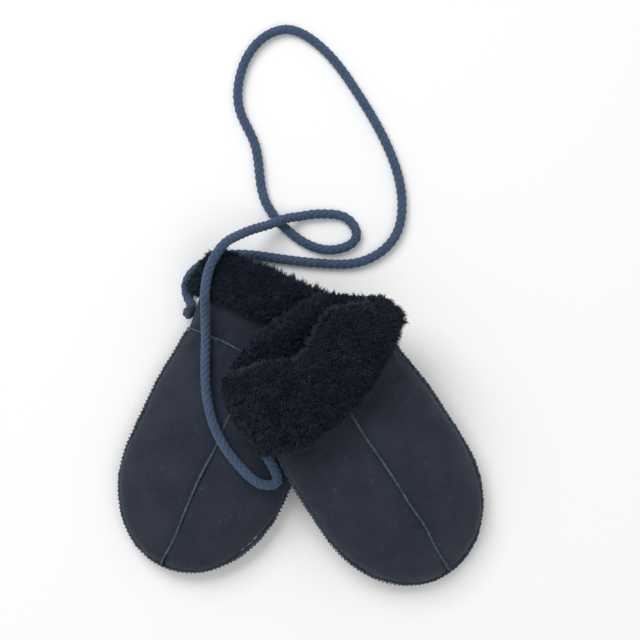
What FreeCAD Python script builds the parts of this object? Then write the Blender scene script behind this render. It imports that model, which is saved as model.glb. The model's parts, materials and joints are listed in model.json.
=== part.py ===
import FreeCAD, Part
import math
import os
from FreeCAD import Placement, Rotation, Vector

# A pair of thumbless baby mittens in sheepskin, suede outside and wool inside, with turned-back
# wool cuffs, joined by one long braided cord. The left mitten lies flat. The right mitten leans
# on it, with its tip on the table.
#
# Model frame: millimetres, +Z up, the table at Z = 0, origin under the middle of the left palm.
# Mitten frame: origin at the wrist seam's centre in the plane of the side seams, +X across the
# hand, +Y out through the cuff (so the tip is at -Y), +Z out of the back of the hand.

# ---- body of a mitten ----
body_length = 131.0        # wrist seam to tip
body_half_width = 48.2
wrist_half_width = 45.0
taper_length = 40.0        # the wrist widens to the body over this length
tip_length = 60.0          # the tip is half an ellipse of this length
back_bulge = 19.0          # height of the back of the hand above the side seams
palm_bulge = 10.9
wrist_back_bulge = 15.0
wrist_palm_bulge = 7.5
seam_height = 10.2         # the side seams' height above the palm's flat rest area

# ---- sheepskin ----
skin = 1.5                 # suede side
pile = 5.0                 # wool side
layer_gap = 0.3            # clearance between neighbouring pieces
welt_height = 1.6          # raw seam edges stand this far out of the suede
welt_half_thickness = 0.55
seam_foot = 2.0            # the centre seam ends this far above the side seams
edge_seam_width = 1.2
edge_seam_half_height = 1.8

# ---- cuff ----
cuff_axis_height = 10.0    # the cuff is rounder than the wrist, so its axis rises to this
cuff_half_width = 46.0
cuff_palm_height = 11.5    # from the cuff's axis down to the suede
cuff_rise_length = 20.0
flap_clearance = 0.6       # between the sleeve and the turned-back flap
flap_skin = 1.3
back_flap_depth = 27.0     # the palm side is turned back by this much on both mittens
back_flap_pile = 5.2
thin_edge = 0.55           # the turned-back wool starts at this share of its middle thickness
plumpness = 0.7            # a lower power fills the wool out closer to its edges

# Each mitten's cuff: where its front and back fold lines are, the opening's height above the
# cuff's axis, how far the front is turned back, and how thick its wool stands in the middle.
left_cuff = dict(front_fold=49.0, back_fold=49.0, rise=12.5, depth=27.0, loft=7.0, belly=0.5)
right_cuff = dict(front_fold=39.0, back_fold=54.0, rise=17.0, depth=50.0, loft=8.5, belly=3.0)

# ---- where the mittens lie ----
left_heading = -24.5       # degrees, tip turned from -Y
right_heading = 34.3
right_pitch = 15.5         # cuff end raised on the left mitten
right_roll = 3.0
left_wrist = Vector(27.0, 58.6, seam_height)
right_wrist = Vector(70.3, 41.0, 40.0)

# ---- cord ----
cord_radius = 3.0
cord_rest = cord_radius + 0.1      # height of its centre when it lies on the table
cord_lift = 0.8                    # clearance over what it lies on
drape_step = 8.0                   # spacing of the points that follow the surface below
steepest_cord = 0.9                # the cord never climbs faster than this slope
round_end_radius = 2.98            # the loop's ends are rounded, just inside the cord's surface
socket_radius = 3.2                # hollow end that the loop's round end turns in
cut_gap = 0.3
rope_step = 3.0            # spacing of the rings that the cord is built through
ring_points = 8            # points that each ring's curve passes through
twist_left = Vector(-16.0, 103.3, cord_rest)    # the cord runs along Y here
twist_right = Vector(67.5, 148.0, cord_rest)    # the cord runs along X here
arm_cut_y = 156.3                               # both arms of the long loop bend here
left_arm_x = 31.2
right_arm_x = 113.8
cord_crossings = [(41.5, 142.5), (6.5, 122.8)]  # where it lies over itself
whipping_length = 5.0
whipping_wall = 0.8
left_tack = Vector(-50.6, 7.0, 0.5)                # where the cord is sewn on, in the mitten's frame
right_approach = Vector(-51.8, -14.0, -3.5)        # the cord comes up to the right tack from here
right_tack = Vector(-51.4, -4.0, -0.5)

BIG = 400.0


# ---------------------------------------------------------------- outlines and sections

def smooth(t):
    t = min(1.0, max(0.0, t))
    return t * t * (3 - 2 * t)


def body_stations(count_straight=4, count_tip=7, last_angle=83.0):
    """Distances from the wrist, closer together round the tip."""
    straight = body_length - tip_length
    along = [straight * i / count_straight for i in range(count_straight)]
    return along, [math.radians(last_angle * i / count_tip) for i in range(count_tip + 1)]


def body_section(distance, inset):
    """Half width, back height and palm height at a distance from the wrist, inset all round."""
    straight = body_length - tip_length
    widen = smooth(distance / taper_length)
    half = wrist_half_width + (body_half_width - wrist_half_width) * widen
    back = wrist_back_bulge + (back_bulge - wrist_back_bulge) * widen
    palm = wrist_palm_bulge + (palm_bulge - wrist_palm_bulge) * widen
    tip = max(0.0, distance - straight) / (tip_length - inset)
    shrink = math.sqrt(max(0.0, 1 - tip * tip))
    return (half - inset) * shrink, (back - inset) * shrink, (palm - inset) * shrink


def arch(half, height, points=11):
    """Points of a low arch over the line from -half to +half."""
    angles = [math.pi * i / (points - 1) for i in range(points)]
    return [(-half * math.cos(a), height * math.sin(a)) for a in angles]


def arch_wire(y, half, height, base):
    """A closed section: an arch standing on a straight base line."""
    curve = Part.BSplineCurve()
    curve.interpolate([Vector(x, y, base + z) for x, z in arch(half, height)])
    ends = curve.getPoles()[0], curve.getPoles()[-1]
    return Part.Wire([curve.toShape(), Part.makeLine(ends[1], ends[0])])


def ring_wire(y, half, above, below, centre, points=16):
    """A closed oval section, its upper and lower halves of different heights."""
    rim = []
    for i in range(points):
        a = 2 * math.pi * i / points
        height = above if math.sin(a) > 0 else below
        rim.append(Vector(half * math.cos(a), y, centre + height * math.sin(a)))
    curve = Part.BSplineCurve()
    curve.interpolate(Points=rim, PeriodicFlag=True)
    return Part.Wire([curve.toShape()])


def dome(side, inset):
    """Everything inside the back (side +1) or palm (side -1) of the body, inset all round."""
    along, angles = body_stations()
    straight = body_length - tip_length
    stations = along + [straight + (tip_length - inset) * math.sin(a) for a in angles]
    base = side * layer_gap
    sections = []
    for distance in stations:
        half, back, palm = body_section(distance, inset)
        height = back if side > 0 else -palm
        sections.append(arch_wire(-distance, half, height, base))
    return Part.makeLoft(sections, True, False)


def slab(x=(-BIG, BIG), y=(-BIG, BIG), z=(-BIG, BIG)):
    """A box between pairs of limits."""
    return Part.makeBox(x[1] - x[0], y[1] - y[0], z[1] - z[0], Vector(x[0], y[0], z[0]))


# ---------------------------------------------------------------- body of a mitten

def body_panels():
    """Suede panels and their wool: the back in two halves, the palm in one piece."""
    pieces = {}
    split = welt_half_thickness + layer_gap
    sides = {"right_half": slab(x=(split, BIG)), "left_half": slab(x=(-BIG, -split))}
    suede_back = dome(1, 0).cut(dome(1, skin))
    wool_start = skin + layer_gap
    wool_back = dome(1, wool_start).cut(dome(1, wool_start + pile))
    for name, half_space in sides.items():
        pieces["back_panel_" + name] = suede_back.common(half_space)
        pieces["back_wool_" + name] = wool_back.common(half_space)
    palm = dome(-1, 0).cut(dome(-1, skin))
    pieces["palm_panel"] = palm.common(slab(z=(-seam_height, BIG)))
    pieces["palm_wool"] = dome(-1, wool_start).cut(dome(-1, wool_start + pile))
    return pieces


def centre_seam():
    """The two back panels' raw edges, stitched together and standing up along the middle."""
    fin = dome(1, -welt_height).cut(dome(1, skin))
    fin = fin.common(slab(x=(-welt_half_thickness, welt_half_thickness)))
    inside_edge_seam = slab(y=(-(body_length - layer_gap), -layer_gap))
    return fin.common(inside_edge_seam).common(slab(z=(seam_foot, BIG)))


def outline_plate(inset):
    """The body's outline as a flat plate as thick as the edge seam."""
    along, angles = body_stations(last_angle=90.0)
    straight = body_length - tip_length
    distances = along + [straight + (tip_length - inset) * math.sin(a) for a in angles]
    right = [Vector(body_section(d, inset)[0], -d, -edge_seam_half_height) for d in distances]
    left = [Vector(-p.x, p.y, p.z) for p in reversed(right[:-1])]
    rim = Part.BSplineCurve()
    rim.interpolate(right + left)
    wire = Part.Wire([rim.toShape(), Part.makeLine(left[-1], right[0])])
    return Part.Face(wire).extrude(Vector(0, 0, 2 * edge_seam_half_height))


def edge_seam():
    """The overcast seam round the body, from one side of the wrist to the other."""
    rim = outline_plate(-layer_gap - edge_seam_width).cut(outline_plate(-layer_gap))
    return rim.common(slab(y=(-BIG, -layer_gap)))


def wrist_seam():
    """The raw edges where the body meets the cuff, a narrow ring standing proud."""
    half, back, palm = body_section(0, 0)
    grow = welt_height
    outer = ring_wire(layer_gap, half + grow, back + grow, palm + grow, 0)
    inner = ring_wire(layer_gap, half - skin, back - skin, palm - skin, 0)
    band = Part.Face(outer).cut(Part.Face(inner))
    return band.extrude(Vector(0, 2 * welt_half_thickness, 0))


# ---------------------------------------------------------------- cuff

def cuff_section(y, cuff, offset):
    """The sleeve's oval at a height above the wrist seam, moved out by an offset."""
    rise = smooth(y / cuff_rise_length)
    wrist_half, wrist_back, wrist_palm = body_section(0, 0)
    half = wrist_half + (cuff_half_width - wrist_half) * rise
    above = wrist_back + (cuff["rise"] - wrist_back) * rise
    below = wrist_palm + (cuff_palm_height - wrist_palm) * rise
    return half + offset, above + offset, below + offset, cuff_axis_height * rise


def sleeve_solid(cuff, offset, start, end):
    count = 6
    heights = [start + (end - start) * i / count for i in range(count + 1)]
    return Part.makeLoft([ring_wire(y, *cuff_section(y, cuff, offset)) for y in heights], True, False)


def mouth_trim(cuff):
    """Everything below the slanted plane through the front and back fold lines."""
    top = cuff_axis_height + cuff["rise"]
    bottom = cuff_axis_height - cuff_palm_height
    lean = math.degrees(math.atan2(cuff["back_fold"] - cuff["front_fold"], top - bottom))
    block = slab(y=(-BIG, 0))
    block.Placement = Placement(Vector(0, cuff["front_fold"], top), Rotation(Vector(1, 0, 0), lean))
    return block


def cuff_sleeve(cuff):
    """The cuff band standing up from the wrist, and the wool inside it."""
    start = 2 * layer_gap + 2 * welt_half_thickness
    end = cuff["back_fold"] + 4
    trim = mouth_trim(cuff)

    def tube(outer, inner):
        wall = sleeve_solid(cuff, outer, start, end).cut(sleeve_solid(cuff, inner, start - 1, end + 1))
        return wall.common(trim)

    wool_start = -skin - layer_gap
    return {"cuff_band": tube(0, -skin), "cuff_wool": tube(wool_start, wool_start - pile)}


def flap_ring(cuff, free, fold, offset, swell):
    """A turned-back band's solid oval from its free edge to its fold, fuller in the middle."""
    count = 6
    sections = []
    for i in range(count + 1):
        along = i / count
        y = free + (fold - free) * along
        extra = swell * math.sin(math.pi * along) ** plumpness if 0 < i < count else 0.0
        belly = cuff["belly"] * extra / swell if swell else 0.0
        half = cuff_half_width + offset + extra + belly
        above = cuff["rise"] + offset + extra
        below = cuff_palm_height + offset + extra
        sections.append(ring_wire(y, half, above, below, cuff_axis_height))
    return Part.makeLoft(sections, True, False)


def cuff_flap(cuff, front):
    """One half of the turn-back: the suede on its inside and the wool on its outside."""
    fold = cuff["front_fold"] if front else cuff["back_fold"]
    free = fold - (cuff["depth"] if front else back_flap_depth)
    most = cuff["loft"] if front else back_flap_pile
    least = thin_edge * most
    edge = cuff_axis_height + (layer_gap if front else -layer_gap)
    half_space = slab(z=(edge, BIG)) if front else slab(z=(-BIG, edge))
    suede_in = flap_clearance
    suede_out = suede_in + flap_skin
    wool_in = suede_out + layer_gap

    def layer(inner, outer, swell):
        shell = flap_ring(cuff, free, fold, outer, swell)
        return shell.cut(flap_ring(cuff, free - 1, fold + 1, inner, 0)).common(half_space)

    name = "front" if front else "palm"
    return {"cuff_flap_suede_" + name: layer(suede_in, suede_out, 0),
            "cuff_flap_wool_" + name: layer(wool_in, wool_in + least, most - least)}


def mitten(cuff):
    """All the pieces of one mitten, in its own frame."""
    pieces = body_panels()
    pieces["centre_seam"] = centre_seam()
    pieces["edge_seam"] = edge_seam()
    pieces["wrist_seam"] = wrist_seam()
    pieces.update(cuff_sleeve(cuff))
    pieces.update(cuff_flap(cuff, front=True))
    pieces.update(cuff_flap(cuff, front=False))
    return pieces


left_place = Placement(left_wrist, Rotation(left_heading, 0, 0))
right_place = Placement(right_wrist, Rotation(right_heading, right_roll, right_pitch))


# ---------------------------------------------------------------- cord

def left_surface(x, y):
    """Height of the left mitten's upper surface over a point of the table, or 0 beside it."""
    local = left_place.inverse().multVec(Vector(x, y, seam_height))
    fold = left_cuff["front_fold"]
    free = fold - left_cuff["depth"]
    outside = flap_clearance + flap_skin + layer_gap + left_cuff["loft"]
    if free <= local.y <= fold:
        half = cuff_half_width + outside
        top = left_cuff["rise"] + outside
        centre = cuff_axis_height
    elif 0 < local.y < free:
        half, top, _, centre = cuff_section(local.y, left_cuff, welt_height)
    elif -body_length < local.y <= 0:
        half, top, _ = body_section(-local.y, -welt_height)
        centre = 0.0
    else:
        return 0.0
    if abs(local.x) >= half:
        return 0.0
    return seam_height + centre + top * math.sqrt(1 - (local.x / half) ** 2)


def resting_height(x, y):
    """Height of the cord's centre where it lies on whatever is under it."""
    under = 0.0
    for turn in range(8):
        angle = turn * math.pi / 4
        reach = cord_radius + 0.5
        under = max(under, left_surface(x + reach * math.cos(angle), y + reach * math.sin(angle)))
    for cross_x, cross_y in cord_crossings:
        if math.hypot(x - cross_x, y - cross_y) < 2 * cord_radius:
            under = max(under, cord_rest + cord_radius)
    return under + cord_radius + cord_lift


def draped(plan):
    """Lay the cord over the left mitten along a plan of x, y points. It bridges steep steps."""
    path = Part.BSplineCurve()
    path.interpolate([Vector(x, y, 0) for x, y in plan])
    count = int(path.length() / drape_step)
    points = path.discretize(Number=count + 1)
    spacing = path.length() / count
    rest = [max(cord_rest, resting_height(p.x, p.y)) for p in points]
    rest[0] = cord_rest
    laid = []
    for i, point in enumerate(points):
        height = max(h - steepest_cord * spacing * abs(i - j) for j, h in enumerate(rest))
        laid.append(Vector(point.x, point.y, height))
    return laid


def flat(*places):
    """Points of the cord's centre line on the table, from x, y pairs."""
    return [Vector(x, y, cord_rest) for x, y in places]


def cord_line():
    """The centre line of the whole cord, from the left mitten's wrist to the right one's."""
    points = [left_place.multVec(left_tack), Vector(-11.8, 91.0, 6.2)]
    points += flat((-14.9, 97.5), twist_left[:2], (-14.9, 108.5), (-7.6, 116.6), (7.3, 122.8),
                   (34.4, 121.6), (70.4, 117.6), (86.0, 118.2), (99.2, 123.6), (108.8, 133.0),
                   (right_arm_x, arm_cut_y), (106.7, 185.9), (86.3, 223.6), (59.5, 255.5),
                   (44.3, 262.0), (30.3, 257.0), (15.6, 232.0), (15.9, 211.0), (24.5, 192.0),
                   (left_arm_x, arm_cut_y), (41.5, 141.3), (56.6, 129.7), (74.6, 126.4),
                   (86.4, 133.8), (81.9, 144.4))
    over_left = [twist_right[:2], (50.6, 146.0), (31.5, 139.0), (9.5, 125.1), (0.6, 110.7),
                 (-2.1, 90.0), (-2.1, 66.8), (-0.9, 37.4), (6.3, 13.1), (20.1, -5.8), (33.0, -14.6),
                 (40.5, -12.6)]
    points += draped(over_left)
    points += [right_place.multVec(right_approach), right_place.multVec(right_tack)]
    line = Part.BSplineCurve()
    line.interpolate(points)
    return line


def rope(line, start, end, radius):
    """A round rope along the line between two parameters, in short straight lengths between
    rings that don't turn about the line."""
    share = (end - start) / (line.LastParameter - line.FirstParameter)
    count = max(2, int(line.length() * share / rope_step))
    side = Vector(0.1, 0.2, 1.0)       # any direction that the line never points in
    rings = []
    for i in range(count + 1):
        at = start + (end - start) * i / count
        heading = line.tangent(at)[0]
        side = (side - heading * side.dot(heading)).normalize()
        other = heading.cross(side)
        angles = [2 * math.pi * k / ring_points for k in range(ring_points)]
        rim = [line.value(at) + (side * math.cos(a) + other * math.sin(a)) * radius for a in angles]
        curve = Part.BSplineCurve()
        curve.interpolate(Points=rim, PeriodicFlag=True)
        rings.append(Part.Wire([curve.toShape()]))
    return Part.makeLoft(rings, True, True)


def ball(line, parameter, radius):
    return Part.makeSphere(radius, line.value(parameter))


def cord_runs():
    """The one cord, as the lengths that turn against each other, and its sewn ends."""
    line = cord_line()
    first, last = line.FirstParameter, line.LastParameter
    cuts = [twist_left, Vector(right_arm_x, arm_cut_y, cord_rest),
            Vector(left_arm_x, arm_cut_y, cord_rest), twist_right]
    one, two, three, four = [line.parameter(point) for point in cuts]
    half_gap = cut_gap / 2 / line.length() * (last - first)

    def whipping(start, end):
        inner = cord_radius + layer_gap
        return rope(line, start, end, inner + whipping_wall).cut(rope(line, start, end, inner))

    wound = whipping_length / line.length() * (last - first)
    return {
        "cord_left_end": rope(line, first, one - half_gap, cord_radius),
        "cord_cross_run": rope(line, one + half_gap, two, cord_radius).cut(ball(line, two, socket_radius)),
        "cord_long_loop": rope(line, two, three, cord_radius).fuse(
            [ball(line, two, round_end_radius), ball(line, three, round_end_radius)]),
        "cord_short_loop": rope(line, three, four - half_gap, cord_radius).cut(
            ball(line, three, socket_radius)),
        "cord_right_end": rope(line, four + half_gap, last, cord_radius),
        "left_cord_whipping": whipping(first + wound / 4, first + wound),
        "right_cord_whipping": whipping(last - wound, last - wound / 4),
    }


def write(name, shape):
    """Write a piece's solids to its own file."""
    solids = shape.Solids
    piece = solids[0] if len(solids) == 1 else Part.makeCompound(solids)
    piece.exportStep("parts/" + name + ".step")


os.makedirs("parts", exist_ok=True)
for side, cuff, place in (("left", left_cuff, left_place), ("right", right_cuff, right_place)):
    for name, shape in mitten(cuff).items():
        shape.Placement = place
        write(side + "_" + name, shape)
for name, shape in cord_runs().items():
    write(name, shape)
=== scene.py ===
import json
import math

import bpy
import numpy as np
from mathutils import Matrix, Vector
from mathutils.bvhtree import BVHTree
from mathutils.kdtree import KDTree


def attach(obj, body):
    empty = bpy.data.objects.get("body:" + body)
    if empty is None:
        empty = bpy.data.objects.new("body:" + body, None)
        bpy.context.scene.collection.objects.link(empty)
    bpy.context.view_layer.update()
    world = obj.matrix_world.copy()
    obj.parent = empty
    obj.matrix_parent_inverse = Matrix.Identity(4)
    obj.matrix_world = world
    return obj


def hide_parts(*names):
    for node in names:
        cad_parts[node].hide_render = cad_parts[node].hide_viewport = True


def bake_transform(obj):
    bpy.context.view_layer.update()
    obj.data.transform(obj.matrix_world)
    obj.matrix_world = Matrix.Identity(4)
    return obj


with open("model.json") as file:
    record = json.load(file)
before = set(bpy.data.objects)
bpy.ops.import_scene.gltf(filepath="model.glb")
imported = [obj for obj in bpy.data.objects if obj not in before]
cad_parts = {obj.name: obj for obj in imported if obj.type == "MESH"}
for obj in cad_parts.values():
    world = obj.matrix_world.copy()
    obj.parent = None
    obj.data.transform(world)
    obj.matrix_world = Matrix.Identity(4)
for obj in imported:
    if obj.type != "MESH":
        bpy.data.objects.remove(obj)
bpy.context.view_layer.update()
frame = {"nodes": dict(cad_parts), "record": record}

# A pair of sheepskin mittens on a braided cord. Shapes are worked out in millimetres, in each
# mitten's own frame: origin at the wrist seam's centre, +X across the hand, +Y out through the
# cuff, +Z out of the back of the hand. The frames and the cord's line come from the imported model.
MM = 0.001
TURN = 2 * math.pi

# ---- the body of a mitten ----
BODY_LENGTH = 131.0
BODY_HALF_WIDTH = 48.2
WRIST_HALF_WIDTH = 45.0
TAPER_LENGTH = 40.0
TIP_LENGTH = 60.0
STRAIGHT = BODY_LENGTH - TIP_LENGTH
TIP_END = 0.996             # the tip's rows stop this share of the way to its point
BULGE = {"back": 19.0, "palm": 10.9}
WRIST_BULGE = {"back": 15.0, "palm": 7.5}
SEAM_HEIGHT = 10.2          # the side seams' height above the palm's rest area
REST_CLEARANCE = 0.05       # the palm stays this far above the table
SKIN = 1.5
PILE = 5.0
LAYER_GAP = 0.3
LINING_START = SKIN + LAYER_GAP + 0.6      # how far inside the suede's face the wool begins
LINING_THICKNESS = PILE - 1.0
WELT_HALF_THICKNESS = 0.85  # two raw edges side by side
WELT_HEIGHT = 1.6

# ---- the unevenness of soft suede: how far it goes in or out, over what length ----
SLOW_RELIEF = (0.42, 34.0)
QUICK_RELIEF = (0.12, 11.0)
SCALLOP = (0.22, 2.5)       # between the overcast stitches, fading inwards
EDGE_PULL = (0.5, 3.0)
SEAM_VALLEY = (0.75, 3.2)   # the centre seam pulls the suede down beside it
PUCKER = (0.10, 2.5)        # along the centre seam, fading sideways
GATHER = (0.45, 9.0)        # at the wrist, fading away from it
GATHER_PITCH = 8.0

# ---- the cuffs ----
CUFF_AXIS_HEIGHT = 10.0
CUFF_HALF_WIDTH = 46.0
CUFF_PALM_HEIGHT = 11.5
CUFF_RISE_LENGTH = 20.0
SLEEVE_START = 1.8
FLAP_SUEDE = (0.6, 1.9)     # how far outside the sleeve the turned-back suede lies
LINING_DEPTH = 6.0          # the lining's surface, under its hair, inside the sleeve
ROLL_LENGTH = 7.0           # the wool rounds over the fold along this much of the cuff
LINING_ROLL = 0.7           # the lining starts to round over at this share of its way
FLAP_ROLL = 0.82            # and the turned-back wool at this share
DIP_WIDTH = 19.0
# Distances along the cuff are from the wrist seam. "opening" is the hand opening's mount: how far
# along and above the mitten's origin it is. "dip" and "droop" lower the mouth's rim at the front
# and at its two sides, and "shut_side" presses the lining in on the +X side.
LEFT_CUFF = dict(front_fold=49.0, back_fold=49.0, rise=12.5, front_free=22.0, palm_free=22.0,
                 free_curve=0.0, free_low=0.0, dip=1.0, dip_at=0.0, loft=7.0, belly=0.5,
                 shut_side=0.0, droop=(2.0, 2.0), opening=(49.0, 10.0))
RIGHT_CUFF = dict(front_fold=39.0, back_fold=46.0, rise=17.0, front_free=-11.0, palm_free=27.0,
                  free_curve=12.0, free_low=-20.0, dip=13.0, dip_at=-9.0, loft=8.5, belly=3.0,
                  shut_side=15.0, droop=(14.0, 5.0), opening=(46.5, 12.0))
PALM_LOFT = 5.2
UNROLL_REACH = 24.0         # a length along the turned-back front, back from its rim

# ---- hair ----
HAIR_LENGTH = 3.6
HAIR_RADIUS = 0.27
HAIRS = {"lining": 16000, "turnback": 17000}
HAIRS_IN_TUFT = 14
TUFT_PULL = 0.45            # how far a tuft's hairs lean in to its middle
TUFT_LEAN = 0.22
HAIR_LEAN = 0.16

# ---- seams ----
EDGE_STITCH = 2.4           # pitch of the overcast stitches round the edge
SEAM_STITCH = 3.5
THREAD_RADIUS = 0.28

# ---- cord ----
CORD_RADIUS = 3.0
CARRIERS = 4                # strands each way round
BRAID_PITCH = 16.0          # one strand goes once round in this length
STRAND_HALF_WIDTH = 1.3
STRAND_HALF_THICKNESS = 0.8
STRAND_WAVE = 0.42          # how far a strand goes in and out as it passes under and over
CORD_STEP = 0.8
JOINT_REACH = 5.0           # the cord is cut into lengths this far from its twist joints
WHIPPED_TO_END = 3.1        # from the middle of the whipping to the cord's cut end
WHIPPING_TURNS = 7
WHIPPING_LENGTH = 4.5
WHIPPING_INSET = 1.0        # from the cord's cut end to its whipping

mounts = {mount["name"]: mount for mount in frame["record"]["mounts"]}
joints = {joint["name"]: joint for joint in frame["record"]["behaviour"]["joints"]}


# ---------------------------------------------------------------- numbers

def smooth(t):
    t = np.clip(t, 0.0, 1.0)
    return t * t * (3 - 2 * t)


def unit(vectors):
    vectors = np.asarray(vectors, float)
    return vectors / np.linalg.norm(vectors, axis=-1, keepdims=True)


class Lumps:
    """Smooth unevenness of about unit height: plane waves in random headings, added together."""

    def __init__(self, seed, wavelength, waves=14):
        draw = np.random.default_rng(seed)
        spread = draw.uniform(0.7, 1.5, (waves, 1))
        self.waves = unit(draw.normal(size=(waves, 3))) * TURN / (wavelength * spread)
        self.phase = draw.uniform(0, TURN, waves)
        self.scale = math.sqrt(2 / waves)

    def __call__(self, points):
        return np.sin(points @ self.waves.T + self.phase).sum(-1) * self.scale


# ---------------------------------------------------------------- the mittens' frames

class Mitten:
    """One mitten: its frame, its cuff and the body its pieces ride on."""

    def __init__(self, side, cuff):
        self.side = side
        self.cuff = cuff
        self.body = side + "_mitten"
        self.seed = 100 if side == "left" else 200
        mount = mounts["hand_opening_" + side]
        out = unit(mount["axis"])
        if side == "left":
            up = np.array([0.0, 0.0, 1.0])
            across = np.cross(out, up)
        else:
            across = -unit(joints["right_cuff_unroll"]["axis"])
            up = np.cross(across, out)
        self.axes = np.array([across, out, up])
        along, rise = cuff["opening"]
        self.origin = np.array(mount["pos_m"]) / MM - along * out - rise * up

    def world(self, points):
        return self.origin + points @ self.axes


# ---------------------------------------------------------------- meshes

def quads(index):
    """The quads of a grid of vertex numbers."""
    corners = [index[:-1, :-1], index[:-1, 1:], index[1:, 1:], index[1:, :-1]]
    return np.stack(corners, -1).reshape(-1, 4)


def volume(points, faces):
    """Signed volume inside the faces, which is positive when they face outwards."""
    total = 0.0
    for group in faces:
        first = points[group[:, 0]]
        for k in range(1, group.shape[1] - 1):
            total += (first * np.cross(points[group[:, k]], points[group[:, k + 1]])).sum()
    return total


def shell(outer, inner, ring=False):
    """A closed sheet between two grids of points. A ring's last column meets its first."""
    rows, cols = outer.shape[:2]
    points = np.concatenate([outer.reshape(-1, 3), inner.reshape(-1, 3)])
    out = np.arange(rows * cols).reshape(rows, cols)
    if ring:
        out = np.hstack([out, out[:, :1]])
    back = out + rows * cols
    faces = [quads(out), quads(back)[:, ::-1],
             quads(np.stack([back[0], out[0]])), quads(np.stack([out[-1], back[-1]]))]
    if not ring:
        faces.append(quads(np.stack([back[:, 0], out[:, 0]], 1)))
        faces.append(quads(np.stack([out[:, -1], back[:, -1]], 1)))
    return points, [np.concatenate(faces)]


def tube(sections, closed=False):
    """A closed solid through a row of sections, each a loop of points."""
    count, sides = sections.shape[:2]
    index = np.arange(count * sides).reshape(count, sides)
    index = np.hstack([index, index[:, :1]])
    if closed:
        index = np.vstack([index, index[:1]])
    faces = [quads(index)]
    if not closed:
        faces += [index[:1, :-1][:, ::-1], index[-1:, :-1]]
    return sections.reshape(-1, 3), faces


def joined(parts):
    """Several meshes as one."""
    points, faces, start = [], {}, 0
    for part_points, part_faces in parts:
        points.append(part_points)
        for group in part_faces:
            faces.setdefault(group.shape[1], []).append(group + start)
        start += len(part_points)
    return np.concatenate(points), [np.concatenate(groups) for groups in faces.values()]


def outward(mesh):
    """The same mesh with its faces turned to look outwards."""
    points, faces = mesh
    if volume(points, faces) < 0:
        faces = [group[:, ::-1] for group in faces]
    return points, faces


def piece(name, mesh, material):
    """A Blender object from points in millimetres and groups of faces."""
    points, faces = mesh
    data = bpy.data.meshes.new(name)
    data.vertices.add(len(points))
    data.vertices.foreach_set("co", (points * MM).astype(np.float32).ravel())
    corners = np.concatenate([group.ravel() for group in faces]).astype(np.int32)
    sizes = np.concatenate([np.full(len(group), group.shape[1]) for group in faces])
    data.loops.add(len(corners))
    data.loops.foreach_set("vertex_index", corners)
    data.polygons.add(len(sizes))
    starts = np.concatenate([[0], np.cumsum(sizes)[:-1]]).astype(np.int32)
    data.polygons.foreach_set("loop_start", starts)
    data.update(calc_edges=True)
    data.validate()
    data.polygons.foreach_set("use_smooth", np.ones(len(data.polygons), bool))
    data.materials.append(material)
    made = bpy.data.objects.new(name, data)
    bpy.context.scene.collection.objects.link(made)
    return made


def mitten_piece(mitten, name, mesh, material, nodes=(), unrolls=False):
    """A piece made in a mitten's frame that stands for some of that mitten's CAD nodes. A piece
    that unrolls is attached to no body and stays where it is made."""
    points, faces = mesh
    made = piece(mitten.side + "_" + name, (mitten.world(points), faces), material)
    if unrolls:
        rim = mitten.cuff["front_fold"] - mitten.cuff["dip"]
        held, turned = mitten.world(np.array([[0, rim, 0], [0, rim - UNROLL_REACH, 0]])) * MM
        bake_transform(made)
    else:
        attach(made, mitten.body)
    if nodes:
        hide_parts(*[mitten.side + "_" + node for node in nodes])
    return made


# ---------------------------------------------------------------- materials

class Paint:
    """A node material under construction, with patterns in the object's own coordinates."""

    def __init__(self, name):
        self.material = bpy.data.materials.new(name)
        self.material.use_nodes = True
        self.tree = self.material.node_tree
        self.surface = self.tree.nodes["Principled BSDF"]
        self.place = self.node("TexCoord").outputs["Object"]

    def node(self, kind, inputs=None, **settings):
        made = self.tree.nodes.new("ShaderNode" + kind)
        for key, value in settings.items():
            setattr(made, key, value)
        self.feed(made, inputs or {})
        return made

    def feed(self, node, inputs):
        for key, value in inputs.items():
            if isinstance(value, bpy.types.NodeSocket):
                self.tree.links.new(value, node.inputs[key])
            else:
                node.inputs[key].default_value = value

    def noise(self, size, detail=3.0, place=None):
        """Noise whose lumps are about this many millimetres across."""
        inputs = {"Vector": place or self.place, "Scale": 1 / (size * MM), "Detail": detail}
        return self.node("TexNoise", inputs).outputs["Fac"]

    def ramp(self, value, low, high, from_value=0.0, to_value=1.0):
        """A value stretched from one range to another and held at its ends."""
        inputs = {"Value": value, "From Min": low, "From Max": high,
                  "To Min": from_value, "To Max": to_value}
        return self.node("MapRange", inputs).outputs["Result"]

    def mix(self, share, one, two):
        made = self.node("Mix", data_type="RGBA")
        self.feed_slots(made, (0, share), (6, one), (7, two))
        return made.outputs[2]

    def feed_slots(self, node, *pairs):
        for slot_number, value in pairs:
            if isinstance(value, bpy.types.NodeSocket):
                self.tree.links.new(value, node.inputs[slot_number])
            elif isinstance(value, tuple):
                node.inputs[slot_number].default_value = (*value, 1.0)
            else:
                node.inputs[slot_number].default_value = value

    def bump(self, height, depth, strength=1.0, under=None):
        inputs = {"Height": height, "Distance": depth * MM, "Strength": strength}
        if under:
            inputs["Normal"] = under
        return self.node("Bump", inputs).outputs["Normal"]

    def finish(self, colour, roughness, normal, sheen=0.0, sheen_tint=(1, 1, 1), shine=0.3):
        self.feed(self.surface, {"Base Color": colour, "Roughness": roughness, "Normal": normal,
                                 "Sheen Weight": sheen, "Sheen Roughness": 0.5,
                                 "Sheen Tint": (*sheen_tint, 1.0), "Specular IOR Level": shine})
        return self.material


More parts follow.
